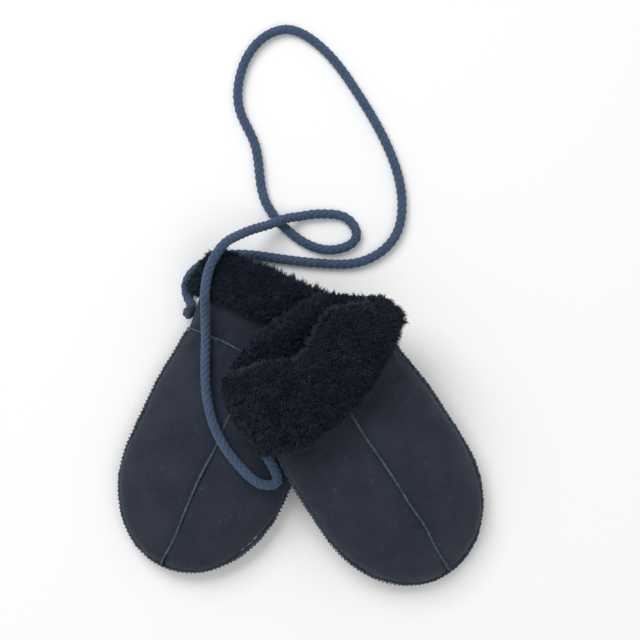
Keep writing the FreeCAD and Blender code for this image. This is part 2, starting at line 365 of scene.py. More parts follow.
def suede_material():
    """Napped suede: brushed patches, fine grain and a few hair-thin lint marks."""
    paint = Paint("suede")
    brushed = paint.ramp(paint.noise(22), 0.35, 0.65)
    colour = paint.mix(brushed, (0.015, 0.019, 0.031), (0.025, 0.030, 0.045))
    grain = paint.ramp(paint.noise(0.9, 4), 0.3, 0.7)
    colour = paint.mix(paint.ramp(grain, 0, 1, 0, 0.5), colour, (0.042, 0.048, 0.066))
    hair = paint.noise(9, 2)
    line = paint.ramp(paint.node("Math", {0: hair, 1: 0.5, 2: 0.0025}, operation="COMPARE")
                      .outputs[0], 0, 1, 0, 0.6)
    patchy = paint.ramp(paint.noise(14), 0.56, 0.62)
    lint = paint.node("Math", {0: line, 1: patchy}, operation="MULTIPLY").outputs[0]
    colour = paint.mix(lint, colour, (0.10, 0.12, 0.16))
    normal = paint.bump(paint.noise(0.55, 5), 0.12)
    normal = paint.bump(paint.noise(3.5, 3), 0.25, 0.7, under=normal)
    return paint.finish(colour, paint.ramp(grain, 0, 1, 0.88, 1.0), normal,
                        sheen=0.15, sheen_tint=(0.75, 0.82, 1.0), shine=0.1)


def wool_material():
    """Dense sheared wool, with painted shade darkening it between the tufts."""
    paint = Paint("wool")
    # painted shade: the tufts noise darkens the colour in the hollows between tufts
    tufts = paint.ramp(paint.noise(2.6, 3), 0.35, 0.68)
    colour = paint.mix(tufts, (0.004, 0.006, 0.014), (0.012, 0.016, 0.033))
    patches = paint.ramp(paint.noise(12), 0.4, 0.7, 0, 0.5)
    colour = paint.mix(patches, colour, (0.016, 0.020, 0.042))
    normal = paint.bump(paint.noise(0.5, 4), 0.15)
    return paint.finish(colour, paint.ramp(tufts, 0, 1, 0.8, 0.95), normal,
                        sheen=0.16, sheen_tint=(0.66, 0.76, 1.0), shine=0.12)


def seam_material():
    """The skin's raw edge: paler and bluer than its dyed face."""
    paint = Paint("raw_edge")
    worn = paint.ramp(paint.noise(5), 0.3, 0.7)
    colour = paint.mix(worn, (0.035, 0.050, 0.070), (0.085, 0.120, 0.150))
    fibres = paint.ramp(paint.noise(0.6, 4), 0.35, 0.65, 0, 0.5)
    colour = paint.mix(fibres, colour, (0.045, 0.060, 0.085))
    normal = paint.bump(paint.noise(0.4, 4), 0.12)
    return paint.finish(colour, paint.ramp(worn, 0, 1, 0.9, 0.8), normal, shine=0.2)


def cord_material():
    """Twisted yarn: fine plies across each strand of the braid."""
    paint = Paint("braided_yarn")
    uneven = paint.ramp(paint.noise(4), 0.3, 0.7)
    colour = paint.mix(uneven, (0.024, 0.050, 0.104), (0.040, 0.077, 0.146))
    plies = paint.ramp(paint.noise(0.45, 3), 0.35, 0.65)
    colour = paint.mix(paint.ramp(plies, 0, 1, 0, 0.45), colour, (0.069, 0.117, 0.197))
    normal = paint.bump(plies, 0.12)
    return paint.finish(colour, paint.ramp(plies, 0, 1, 0.62, 0.8), normal,
                        sheen=0.3, sheen_tint=(0.6, 0.75, 1.0), shine=0.35)


def thread_material():
    """Waxed sewing thread."""
    paint = Paint("sewing_thread")
    twist = paint.ramp(paint.noise(0.35, 2), 0.3, 0.7)
    colour = paint.mix(twist, (0.016, 0.028, 0.050), (0.040, 0.062, 0.095))
    normal = paint.bump(twist, 0.06)
    return paint.finish(colour, paint.ramp(twist, 0, 1, 0.5, 0.7), normal, shine=0.4)


def floor_material():
    """Plain white paper."""
    paint = Paint("floor")
    fibres = paint.noise(2.0, 2)
    colour = paint.mix(fibres, (0.93, 0.93, 0.93), (0.95, 0.95, 0.95))
    return paint.finish(colour, paint.ramp(fibres, 0, 1, 0.9, 1.0),
                        paint.bump(fibres, 0.02), shine=0.1)


SUEDE = suede_material()
WOOL = wool_material()
RAW_EDGE = seam_material()
YARN = cord_material()
THREAD = thread_material()


# ---------------------------------------------------------------- the body of a mitten

def body_point(row, angle, inset, face):
    """Point of the back or palm. Rows run from 0 at the wrist to BODY_LENGTH at the tip, and the
    angle runs from 0 at the +X side seam to half a turn at the -X one."""
    widen = smooth(row / TAPER_LENGTH)
    half = WRIST_HALF_WIDTH + (BODY_HALF_WIDTH - WRIST_HALF_WIDTH) * widen
    height = WRIST_BULGE[face] + (BULGE[face] - WRIST_BULGE[face]) * widen
    tip = np.clip((row - STRAIGHT) / TIP_LENGTH, 0, TIP_END) * math.pi / 2
    along = np.minimum(row, STRAIGHT) + (TIP_LENGTH - inset) * np.sin(tip)
    x = (half - inset) * np.cos(tip) * np.cos(angle)
    z = LAYER_GAP + (height - inset) * np.cos(tip) * np.sin(angle)
    if face == "palm":
        z = np.maximum(-z, REST_CLEARANCE - SEAM_HEIGHT)
    return np.stack(np.broadcast_arrays(x, -along, z), -1)


def edge_run(points):
    """How far each point is in from the mitten's outline, and how far round the outline it is."""
    tip = np.clip((-points[..., 1] - STRAIGHT) / TIP_LENGTH, 0, 1)
    half = BODY_HALF_WIDTH - (BODY_HALF_WIDTH - WRIST_HALF_WIDTH) * (
        1 - smooth(-points[..., 1] / TAPER_LENGTH))
    across = np.abs(points[..., 0]) / half
    inward = (1 - np.hypot(across, tip)) * BODY_HALF_WIDTH
    around = np.arctan2(tip, across) * (TIP_LENGTH + BODY_HALF_WIDTH) / 2
    return np.clip(inward, 0, None), np.clip(-points[..., 1], 0, STRAIGHT) + around


def grid_normals(grid):
    """Unit normals of a grid of points, to one side of it or the other."""
    along = np.gradient(grid, axis=0)
    across = np.gradient(grid, axis=1)
    return unit(np.cross(along, across) + 1e-12)


def away(normals, grid, centre):
    """The normals turned to point away from a centre."""
    facing = ((grid - centre) * normals).sum(-1, keepdims=True)
    return np.where(facing < 0, -normals, normals)


def suede_relief(mitten, points):
    """How far soft suede stands out of or into its plain shape."""
    x, y, on_back = points[..., 0], points[..., 1], points[..., 2] > 0
    slow = Lumps(mitten.seed + 1, SLOW_RELIEF[1])(points) * SLOW_RELIEF[0]
    quick = Lumps(mitten.seed + 2, QUICK_RELIEF[1])(points) * QUICK_RELIEF[0]
    inward, around = edge_run(points)
    scallop = np.cos(TURN * around / (2 * EDGE_STITCH)) * SCALLOP[0] * np.exp(-inward / SCALLOP[1])
    pull = -EDGE_PULL[0] * np.exp(-inward / EDGE_PULL[1])
    valley = -SEAM_VALLEY[0] * np.exp(-(x / SEAM_VALLEY[1]) ** 2) * on_back
    pucker = np.cos(TURN * y / SEAM_STITCH) * PUCKER[0]
    pucker = pucker * np.exp(-np.abs(x) / PUCKER[1]) * on_back
    gather = np.cos(x * TURN / GATHER_PITCH + Lumps(mitten.seed + 3, 30.0)(points))
    gather = gather * GATHER[0] * np.exp(-np.abs(y) / GATHER[1])
    return slow + quick + scallop + pull + valley + pucker + gather


def body_grid(columns, row_step=1.0):
    """Rows along the body and a share from 0 to 1 across a panel."""
    rows = np.linspace(0, BODY_LENGTH, int(BODY_LENGTH / row_step) + 1)
    return rows[:, None], np.linspace(0, 1, columns)[None, :]


def back_angle(rows, share, hand):
    """Angles across one half of the back, from the side seam in to the centre seam."""
    half = body_point(rows, 0.0, 0.0, "back")[..., 0]
    inner = np.arccos(np.clip(WELT_HALF_THICKNESS * 0.6 / np.maximum(half, 0.9), 0, 1))
    angle = share * inner
    return angle if hand > 0 else math.pi - angle


def panel(mitten, face, hand=0):
    """One suede panel of the body as a closed sheet."""
    rows, share = body_grid(64 if hand else 120)
    angle = back_angle(rows, share, hand) if hand else share * math.pi
    outer = body_point(rows, angle, 0.0, face)
    inner = body_point(rows, angle, SKIN, face)
    normals = away(grid_normals(outer), outer, np.array([0.0, -BODY_LENGTH / 2, 0.0]))
    relief = suede_relief(mitten, outer)
    if face == "palm":
        relief = relief * smooth((outer[..., 2] + SEAM_HEIGHT) / 3.0)
    return outward(shell(outer + normals * relief[..., None], inner + normals * relief[..., None]))


def lining(mitten, face, hand=0):
    """The wool side of a panel, lumpy where the hand goes."""
    rows, share = body_grid(36 if hand else 70, 2.0)
    angle = back_angle(rows, share, hand) if hand else share * math.pi
    outer = body_point(rows, angle, LINING_START, face)
    inner = body_point(rows, angle, LINING_START + LINING_THICKNESS, face)
    normals = away(grid_normals(inner), inner, np.array([0.0, -BODY_LENGTH / 2, 0.0]))
    tufts = Lumps(mitten.seed + 5, 5.0)(inner) * 0.45
    return outward(shell(outer, inner - normals * tufts[..., None]))


def body_panels(mitten):
    for hand, half in ((1, "right"), (-1, "left")):
        mitten_piece(mitten, "suede_back_" + half, panel(mitten, "back", hand), SUEDE,
                     ["back_panel_" + half + "_half"])
        mitten_piece(mitten, "lining_back_" + half, lining(mitten, "back", hand), WOOL,
                     ["back_wool_" + half + "_half"])
    mitten_piece(mitten, "suede_palm", panel(mitten, "palm"), SUEDE, ["palm_panel"])
    mitten_piece(mitten, "lining_palm", lining(mitten, "palm"), WOOL, ["palm_wool"])


# ---------------------------------------------------------------- seams

def welt_profile(count, run, height, half, stitch):
    """Sections of two raw edges side by side, pinched at each stitch: across and outwards."""
    pinch = 0.5 + 0.5 * np.cos(TURN * run / stitch)
    width = half * (1 - 0.28 * pinch)
    top = height * (1 - 0.22 * pinch)
    angle = np.linspace(-0.25 * math.pi, 1.25 * math.pi, count)
    across = np.cos(angle)[None, :] * width[:, None]
    lip = 0.5 * half
    rise = np.sin(angle)[None, :] * lip + (top - lip)[:, None]
    groove = 0.35 * np.exp(-(across / (0.35 * half)) ** 2)
    return across, rise - groove


def swept(path, side, out, across, rise, root, closed=False):
    """A solid swept along a path, its section closed under the surface at a root depth."""
    top = path[:, None] + side[:, None] * across[..., None] + out[:, None] * rise[..., None]
    low_right = path - out * root + side * across[:, :1]
    low_left = path - out * root + side * across[:, -1:]
    return outward(tube(np.concatenate([top, low_left[:, None], low_right[:, None]], 1), closed))


def run_length(path):
    steps = np.linalg.norm(np.diff(path, axis=0), axis=1)
    return np.concatenate([[0], np.cumsum(steps)])


def stitches(path, side, out, reach, rise, pitch, slant=0.5):
    """Thread loops over an edge: half rings that lean along it, one at each pitch."""
    run = run_length(path)
    loops = []
    turn = np.linspace(-0.15 * math.pi, 1.15 * math.pi, 9)
    for start in np.arange(pitch, run[-1] - pitch, pitch):
        at = start + slant * pitch * (turn / math.pi - 0.5)
        centre = np.stack([np.interp(at, run, path[:, k]) for k in range(3)], 1)
        here_side = np.array([np.interp(start, run, side[:, k]) for k in range(3)])
        here_out = np.array([np.interp(start, run, out[:, k]) for k in range(3)])
        line = centre + np.outer(np.cos(turn) * reach, here_side)
        line = line + np.outer(np.sin(turn) * rise, here_out)
        loops.append(round_tube(line, THREAD_RADIUS, 6))
    return joined(loops)


def transported(path):
    """Tangents and two normals along a path that don't twist about it."""
    tangent = unit(np.gradient(path, axis=0))
    guess = np.array([0.0, 0.0, 1.0]) if abs(tangent[0, 2]) < 0.9 else np.array([1.0, 0, 0])
    first = np.empty_like(path)
    for i, direction in enumerate(tangent):
        guess = guess - direction * (guess @ direction)
        guess = guess / np.linalg.norm(guess)
        first[i] = guess
    return tangent, first, np.cross(tangent, first)


def round_tube(path, radius, sides):
    _, first, second = transported(path)
    angle = np.arange(sides) * TURN / sides
    ring = (first[:, None] * np.cos(angle)[None, :, None]
            + second[:, None] * np.sin(angle)[None, :, None])
    return outward(tube(path[:, None] + ring * radius))


def centre_seam(mitten):
    """The welt where the two halves of the back meet, from the wrist to the tip."""
    rows = np.linspace(0.4, BODY_LENGTH - 1.0, 420)
    path = body_point(rows, math.pi / 2, 0.0, "back")
    out = unit(np.stack([np.zeros(len(rows)), -np.gradient(path[:, 2]), np.gradient(path[:, 1])], 1))
    out = np.where(out[:, 2:] < 0, -out, out)
    side = np.tile([1.0, 0.0, 0.0], (len(rows), 1))
    sway = Lumps(mitten.seed + 7, 26.0)(path) * 0.35
    path = path + side * sway[:, None] - out * 0.55
    run = run_length(path)
    fade = 0.75 + 0.25 * smooth(run / 30)
    across, rise = welt_profile(13, run, WELT_HEIGHT, WELT_HALF_THICKNESS, SEAM_STITCH)
    mesh = swept(path, side, out, across, rise * fade[:, None], 1.2)
    mitten_piece(mitten, "centre_welt", mesh, RAW_EDGE, ["centre_seam"])
    low = path + out * 0.15
    for hand in (1, -1):
        dashes = []
        for start in np.arange(3.0, run[-1] - 6, SEAM_STITCH):
            at = np.linspace(start, start + 0.55 * SEAM_STITCH, 5)
            line = np.stack([np.interp(at, run, low[:, k]) for k in range(3)], 1)
            line = line + np.array([hand * (WELT_HALF_THICKNESS + 0.05), 0, 0.35])
            dashes.append(round_tube(line, 0.2, 6))
        name = "centre_stitches_" + ("right" if hand > 0 else "left")
        mitten_piece(mitten, name, joined(dashes), THREAD)


def edge_seam(mitten):
    """The overcast edge round the body, from one side of the wrist to the other."""
    rows = np.linspace(0.3, BODY_LENGTH, 330)
    right = body_point(rows, 0.0, 0.0, "back")
    right[:, 2] = 0
    left = right[::-1][1:] * np.array([-1.0, 1.0, 1.0])
    path = np.concatenate([right, left])
    tangent = unit(np.gradient(path, axis=0))
    out = np.cross(tangent, [0.0, 0.0, 1.0])
    out = np.where(((path - [0, -STRAIGHT, 0]) * out).sum(-1, keepdims=True) < 0, -out, out)
    side = np.tile([0.0, 0.0, 1.0], (len(path), 1))
    run = run_length(path)
    across, rise = welt_profile(13, run, 1.5, 1.35, 2 * EDGE_STITCH)
    uneven = 1 + 0.14 * Lumps(mitten.seed + 8, 9.0)(path)
    mesh = swept(path, side, out, across, rise * uneven[:, None], 1.4)
    mitten_piece(mitten, "edge_welt", mesh, RAW_EDGE, ["edge_seam"])
    loops = stitches(path, side, out, 1.45, 1.55, EDGE_STITCH)
    mitten_piece(mitten, "edge_stitches", loops, THREAD)


def wrist_seam(mitten):
    """The welt all round the wrist, where the body meets the cuff."""
    angle = np.linspace(0, TURN, 420, endpoint=False)
    height = np.where(np.sin(angle) > 0, WRIST_BULGE["back"], WRIST_BULGE["palm"])
    path = np.stack([WRIST_HALF_WIDTH * np.cos(angle), np.full(len(angle), 0.85),
                     height * np.sin(angle)], 1)
    out = unit(np.stack([np.cos(angle) / WRIST_HALF_WIDTH, 0 * angle, np.sin(angle) / height], 1))
    side = np.tile([0.0, 1.0, 0.0], (len(path), 1))
    run = run_length(path)
    sway = Lumps(mitten.seed + 9, 24.0)(path) * 0.3
    path = path + side * sway[:, None] - out * 0.5
    across, rise = welt_profile(13, run, WELT_HEIGHT, WELT_HALF_THICKNESS, SEAM_STITCH)
    mesh = swept(path, side, out, across, rise, 1.2, closed=True)
    mitten_piece(mitten, "wrist_welt", mesh, RAW_EDGE, ["wrist_seam"])


# ---------------------------------------------------------------- cuffs

def fold_line(cuff, angle):
    """Where the fold is along the cuff, round its ring. A slanted mouth, dipping at the front."""
    sin = np.sin(angle)
    height = np.where(sin > 0, cuff["rise"], CUFF_PALM_HEIGHT)
    down = (cuff["rise"] - height * sin) / (cuff["rise"] + CUFF_PALM_HEIGHT)
    plain = cuff["front_fold"] + (cuff["back_fold"] - cuff["front_fold"]) * down
    x = CUFF_HALF_WIDTH * np.cos(angle)
    dip = cuff["dip"] * np.exp(-((x - cuff["dip_at"]) / DIP_WIDTH) ** 2) * np.clip(sin, 0, 1)
    cos = np.cos(angle)
    droop = np.where(cos > 0, cuff["droop"][0], cuff["droop"][1])
    return plain - dip - droop * smooth((np.abs(cos) - 0.45) / 0.55)


def free_line(cuff, angle, front):
    """Where the turned-back edge ends along the cuff."""
    x = CUFF_HALF_WIDTH * np.cos(angle)
    bend = cuff["free_curve"] * ((x - cuff["free_low"]) / CUFF_HALF_WIDTH) ** 2
    front_edge = cuff["front_free"] + bend
    if front:
        return front_edge
    down = smooth(-np.sin(angle) / 0.6)
    return front_edge + (cuff["palm_free"] - front_edge) * down


def ring_point(cuff, y, angle, offset, turned=False):
    """Point of the cuff's oval, moved out by an offset. A turned-back part keeps the full oval."""
    rise = np.ones_like(y) if turned else smooth(y / CUFF_RISE_LENGTH)
    half = WRIST_HALF_WIDTH + (CUFF_HALF_WIDTH - WRIST_HALF_WIDTH) * rise
    above = WRIST_BULGE["back"] + (cuff["rise"] - WRIST_BULGE["back"]) * rise
    below = WRIST_BULGE["palm"] + (CUFF_PALM_HEIGHT - WRIST_BULGE["palm"]) * rise
    sin = np.sin(angle)
    height = np.where(sin > 0, above, below) + offset
    x = (half + offset) * np.cos(angle)
    return np.stack(np.broadcast_arrays(x, y, CUFF_AXIS_HEIGHT * rise + height * sin), -1)


def cuff_sleeve(mitten):
    """The suede band above the wrist, softly gathered at the seam."""
    angle = np.linspace(0, TURN, 260, endpoint=False)[None, :]
    share = np.linspace(0, 1, 46)[:, None]
    y = SLEEVE_START + (fold_line(mitten.cuff, angle) - 2.5 - SLEEVE_START) * share
    outer = ring_point(mitten.cuff, y, angle, 0.0)
    inner = ring_point(mitten.cuff, y, angle, -SKIN)
    slow = Lumps(mitten.seed + 11, 20.0)(outer) * 0.3
    gather = np.cos(outer[..., 0] * TURN / GATHER_PITCH + Lumps(mitten.seed + 12, 26.0)(outer))
    gather = GATHER[0] * gather * np.exp(-outer[..., 1] / GATHER[1])
    relief = (slow + gather - 0.3) * (1 - share ** 4)
    outer = outer + ring_normals(mitten.cuff, angle) * relief[..., None]
    mesh = outward(shell(outer, inner, ring=True))
    mitten_piece(mitten, "cuff_suede", mesh, SUEDE, ["cuff_band"])


def ring_normals(cuff, angle):
    height = np.where(np.sin(angle) > 0, cuff["rise"], CUFF_PALM_HEIGHT)
    zero = np.zeros_like(angle)
    return unit(np.stack([np.cos(angle) / CUFF_HALF_WIDTH, zero, np.sin(angle) / height], -1))


def lining_surface(mitten, share, angle):
    """The cuff lining's face: along the inside of the sleeve and round its end to the fold."""
    fold = fold_line(mitten.cuff, angle)
    turn = quarter_turn(share, LINING_ROLL)
    straight = SLEEVE_START + (fold - ROLL_LENGTH - SLEEVE_START) * np.minimum(share / LINING_ROLL, 1)
    y = straight + (ROLL_LENGTH + 1.0) * np.sin(turn)
    shut = mitten.cuff["shut_side"] * np.clip(np.cos(angle), 0, 1) ** 2
    offset = 0.1 - (LINING_DEPTH + shut + 0.1) * np.cos(turn)
    plain = ring_point(mitten.cuff, y, angle, offset)
    lumps = Lumps(mitten.seed + 13, 6.5)(plain) * 0.35 * (1 - np.clip(share, 0.9, 1) * 0.5)
    centre = ring_point(mitten.cuff, y, angle, offset - 5)
    return plain + unit(centre - plain) * lumps[..., None]


def quarter_turn(share, start):
    """A quarter turn that starts at a share of the way along."""
    return np.clip((share - start) / (1 - start), 0, 1) * math.pi / 2


def cuff_lining(mitten):
    """The wool inside the sleeve, with hair near the mouth."""
    angle = np.linspace(0, TURN, 220, endpoint=False)[None, :]
    share = np.linspace(0, 1, 50)[:, None]
    face = lining_surface(mitten, share, angle)
    fold = fold_line(mitten.cuff, angle)
    y = SLEEVE_START + (fold - 1.5 - SLEEVE_START) * share
    back = ring_point(mitten.cuff, y, angle, -SKIN - LAYER_GAP)
    base = outward(shell(face, back, ring=True))
    hair = fur(mitten, lambda u, v: lining_surface(mitten, 0.45 + 0.55 * u, TURN * v),
               HAIRS["lining"], mitten.seed + 14, inward=True, comb=(0, 0.25, 0))
    mitten_piece(mitten, "cuff_lining", joined([base, hair]), WOOL, ["cuff_wool"])


def flap_surface(mitten, share, angle, front):
    """The turned-back wool's face: from its free edge up the cuff and round to the fold."""
    cuff = mitten.cuff
    loft = cuff["loft"] if front else PALM_LOFT
    fold = fold_line(cuff, angle)
    free = free_line(cuff, angle, front)
    turn = quarter_turn(share, FLAP_ROLL)
    straight = free + (fold - ROLL_LENGTH - free) * np.minimum(share / FLAP_ROLL, 1)
    y = straight + (ROLL_LENGTH + 1.0) * np.sin(turn)
    plump = np.sin(math.pi * np.clip(share / FLAP_ROLL, 0, 1) ** 0.8) ** 0.6 * (share < FLAP_ROLL)
    plump = np.where(share < FLAP_ROLL, 0.62 + 0.38 * plump, 0.62)
    edge = smooth(share / 0.06)
    full = FLAP_SUEDE[1] + 0.2 + (loft - 2.4) * plump * (0.35 + 0.65 * edge)
    offset = 0.7 + (full - 0.7) * np.cos(turn)
    side = smooth(np.abs(np.cos(angle)) ** 3)
    offset = offset + cuff["belly"] * 0.35 * side * plump
    plain = ring_point(cuff, y, angle, offset, turned=True)
    lumps = Lumps(mitten.seed + 15, 8.0)(plain) * 0.5 + Lumps(mitten.seed + 16, 22.0)(plain) * 0.5
    normal = ring_normals(cuff, angle)
    return plain + normal * (lumps * edge)[..., None]


def cuff_flap(mitten, front):
    """One half of the turn-back: its suede against the sleeve and its wool outside."""
    cuff = mitten.cuff
    name = "front" if front else "palm"
    unrolls = front and mitten.side == "right"
    start = 0.0 if front else math.pi
    margin = 0.012
    columns = np.linspace(start + margin, start + math.pi - margin, 150)[None, :]
    share = np.linspace(0, 1, 56)[:, None]
    fold = fold_line(cuff, columns)
    free = free_line(cuff, columns, front)
    face = flap_surface(mitten, share, columns, front)
    y = free + (fold - 1.0 - free) * share
    back = ring_point(cuff, y, columns, FLAP_SUEDE[1] + 0.05 + 0 * y, turned=True)
    base = outward(shell(face, back))
    hair = fur(mitten, lambda u, v: flap_surface(mitten, u, start + math.pi * v, front),
               HAIRS["turnback"], mitten.seed + (17 if front else 18), comb=(0, -0.35, 0))
    mitten_piece(mitten, "turnback_wool_" + name, joined([base, hair]), WOOL,
                 ["cuff_flap_wool_" + name], unrolls)
    y = free - 0.7 + (fold - 2.0 - free) * share
    outer = ring_point(cuff, y, columns, FLAP_SUEDE[1] + 0 * y, turned=True)
    inner = ring_point(cuff, y, columns, FLAP_SUEDE[0] + 0 * y, turned=True)
    mesh = outward(shell(outer, inner))
    mitten_piece(mitten, "turnback_suede_" + name, mesh, RAW_EDGE,
                 ["cuff_flap_suede_" + name], unrolls)


# ---------------------------------------------------------------- hair

def scattered(surface, count, draw):
    """Places spread evenly over a surface's own area, as shares u and v."""
    cells = 70
    edges = np.linspace(0, 1, cells + 1)
    grid = surface(edges[:, None], edges[None, :])
    area = np.linalg.norm(np.cross(grid[1:, :-1] - grid[:-1, :-1], grid[:-1, 1:] - grid[:-1, :-1]),
                          axis=-1)
    chosen = draw.choice(cells * cells, count, p=area.ravel() / area.sum())
    u = (chosen // cells + draw.random(count)) / cells
    v = (chosen % cells + draw.random(count)) / cells
    return u, v


def fur(mitten, surface, count, seed, inward=False, comb=(0, 0, 0)):
    """Thin three-sided locks of hair that stand on a surface and gather into tufts. They lean
    the way they are combed."""
    draw = np.random.default_rng(seed)
    u, v = scattered(surface, count, draw)
    step = 0.004
    root = surface(u, v)
    along = surface(np.clip(u + step, 0, 1), v) - surface(np.clip(u - step, 0, 1), v)
    across = surface(u, v + step) - surface(u, v - step)
    normal = unit(np.cross(along, across) + 1e-9)
    if inward:
        normal = -normal
    length = HAIR_LENGTH * draw.uniform(0.65, 1.15, count)
    tuft_count = int(count / HAIRS_IN_TUFT)
    tree = KDTree(tuft_count)
    for i in range(tuft_count):
        tree.insert(Vector(root[i]), i)
    tree.balance()
    tuft = np.array([tree.find(Vector(point))[1] for point in root])
    pull = (root[tuft] - root) * TUFT_PULL
    lean = np.asarray(comb) + draw.normal(size=(tuft_count, 3))[tuft] * TUFT_LEAN
    lean = lean + draw.normal(size=(count, 3)) * HAIR_LEAN
    middle = root + (normal * 0.6 + lean * 0.3) * length[:, None] + pull * 0.35
    tip = root + (normal * 0.92 + lean) * length[:, None] + pull
    middle = above_table(mitten, clear_of_cord(mitten, middle))
    tip = above_table(mitten, clear_of_cord(mitten, tip))
    return hair_mesh(root - normal * 0.4, middle, tip, normal, draw.uniform(0.8, 1.25, count))


def hair_mesh(root, middle, tip, normal, thickness):
    """One mesh of all the hairs: each has three corners at its root, three halfway and a tip."""
    count = len(root)
    side = unit(np.cross(normal, [0.31, 0.87, 0.38]))
    other = np.cross(normal, side)
    points = np.empty((count, 7, 3))
    for k in range(3):
        turn = TURN * k / 3
        around = side * math.cos(turn) + other * math.sin(turn)
        around = around * (HAIR_RADIUS * thickness)[:, None]
        points[:, k] = root + around
        points[:, 3 + k] = middle + around * 0.85
    points[:, 6] = tip
    start = np.arange(count)[:, None] * 7
    walls = [start + [k, (k + 1) % 3, 3 + (k + 1) % 3, 3 + k] for k in range(3)]
    ends = [start + [3 + k, 3 + (k + 1) % 3, 6] for k in range(3)] + [start + [2, 1, 0]]
    return outward((points.reshape(-1, 3), [np.concatenate(walls), np.concatenate(ends)]))


def above_table(mitten, points):
    """The points, with any that would be under the table raised to it, as pressed hair lies."""
    height = mitten.world(points)[:, 2:]
    return points + np.clip(HAIR_RADIUS - height, 0, None) * mitten.axes[:, 2]


def clear_of_cord(mitten, points):
    """The points, with any that would be inside the cord pushed out to its surface."""
    places = (LINE - mitten.origin) @ mitten.axes.T
    square = (points ** 2).sum(1)[:, None] + (places ** 2).sum(1)[None, :] - 2 * points @ places.T
    nearest = places[square.argmin(1)]
    gap = points - nearest
    distance = np.linalg.norm(gap, axis=1, keepdims=True)
    push = np.clip(CORD_RADIUS + 0.35 - distance, 0, None)
    return points + gap / np.maximum(distance, 1e-6) * push


# ---------------------------------------------------------------- cord

def cord_tree():
    """The CAD cord's surface, in millimetres."""
    points, faces = [], []
    for name, node in sorted(frame["nodes"].items()):
        if name.startswith("cord_"):
            start = len(points)
            points += [vertex.co / MM for vertex in node.data.vertices]
            faces += [[start + v for v in face.vertices] for face in node.data.polygons]
    return BVHTree.FromPolygons(points, faces)


def recentred(tree, point, heading):
    """The cord's centre near a point, from rays square to the heading, or None past its end."""
    side = heading.orthogonal().normalized()
    other = heading.cross(side)
    for _ in range(4):
        shift, hits = Vector((0, 0, 0)), 0
        for k in range(12):
            turn = TURN * k / 12
            ray = side * math.cos(turn) + other * math.sin(turn)
            hit = tree.ray_cast(point, ray, 1.4 * CORD_RADIUS)[0]
            if hit is not None and (hit - point).length > CORD_RADIUS / 2:
                shift += hit - point
                hits += 1
        if hits < 7:
            return None
        point = point + shift * (2 / hits)
    return point


def next_centre(tree, points, step=1.0, reach=8):
    """The cord's centre a step or more past the last point, or None where the cord ends. The
    cord is cut and socketed at its joints, so longer steps and steadier headings are tried too."""
    for look_back in (2, 5, 8):
        heading = (points[-1] - points[-1 - min(look_back, len(points) - 1)]).normalized()
        for steps_ahead in range(1, reach + 1):
            guess = points[-1] + heading * (step * steps_ahead)
            centre = recentred(tree, guess, heading)
            if centre is not None and (centre - guess).length < CORD_RADIUS / 2:
                return centre
    return None


def walked(tree, start, heading):
    """Points along the middle of the cord, from a start towards a heading until the cord ends."""
    points = [start, start + heading]
    while True:
        centre = next_centre(tree, points)
        if centre is None:
            return points
        points.append(centre)


def hook(start, heading, end, end_heading, pull, count=30):
    """A smooth curve that leaves one point along a heading and arrives at another along its own."""
    t = np.linspace(0, 1, count)[1:, None]
    leaving = (2 * t ** 3 - 3 * t ** 2 + 1) * start + (t ** 3 - 2 * t ** 2 + t) * pull * heading
    arriving = (3 * t ** 2 - 2 * t ** 3) * end + (t ** 3 - t ** 2) * pull * end_heading
    return leaving + arriving


def sewn_end(points):
    """The cord's last stretch: it hooks back along the right mitten's side seam to its whipping."""
    node = frame["nodes"]["right_cord_whipping"]
    whipped = np.mean([list(vertex.co) for vertex in node.data.vertices], axis=0) / MM
    seam = unit(mounts["hand_opening_right"]["axis"])
    loose, steady = 2, 6                   # the walk is least sure of its last points
    points = points[:-loose]
    heading = unit(points[-1] - points[-steady])
    pull = 0.8 * np.linalg.norm(whipped - points[-1])
    turn = hook(points[-1], heading, whipped, seam, pull)
    tail = whipped + seam * WHIPPED_TO_END
    return np.vstack([points, turn, tail])


def cord_line():
    """The cord's centre line from the left mitten to the right one, in even steps."""
    joint = joints["cord_left_twist"]
    start = Vector(joint["pos_m"]) / MM
    heading = -Vector(joint["axis"])
    tree = cord_tree()
    before = walked(tree, start + heading * -1.0, -heading)
    after = walked(tree, start + heading * 1.0, heading)
    points = sewn_end(np.array([list(p) for p in before[::-1] + after]))
    run = run_length(points)
    even = np.arange(0, run[-1], CORD_STEP)
    line = np.stack([np.interp(even, run, points[:, k]) for k in range(3)], 1)
    weights = np.exp(-np.linspace(-2, 2, 9) ** 2)
    weights = weights / weights.sum()
    padded = np.vstack([2 * line[0] - line[4:0:-1], line, 2 * line[-1] - line[-2:-6:-1]])
    return np.stack([np.convolve(padded[:, k], weights, "valid") for k in range(3)], 1)


LINE = cord_line()
LINE_RUN = run_length(LINE)
LINE_FRAME = transported(LINE)


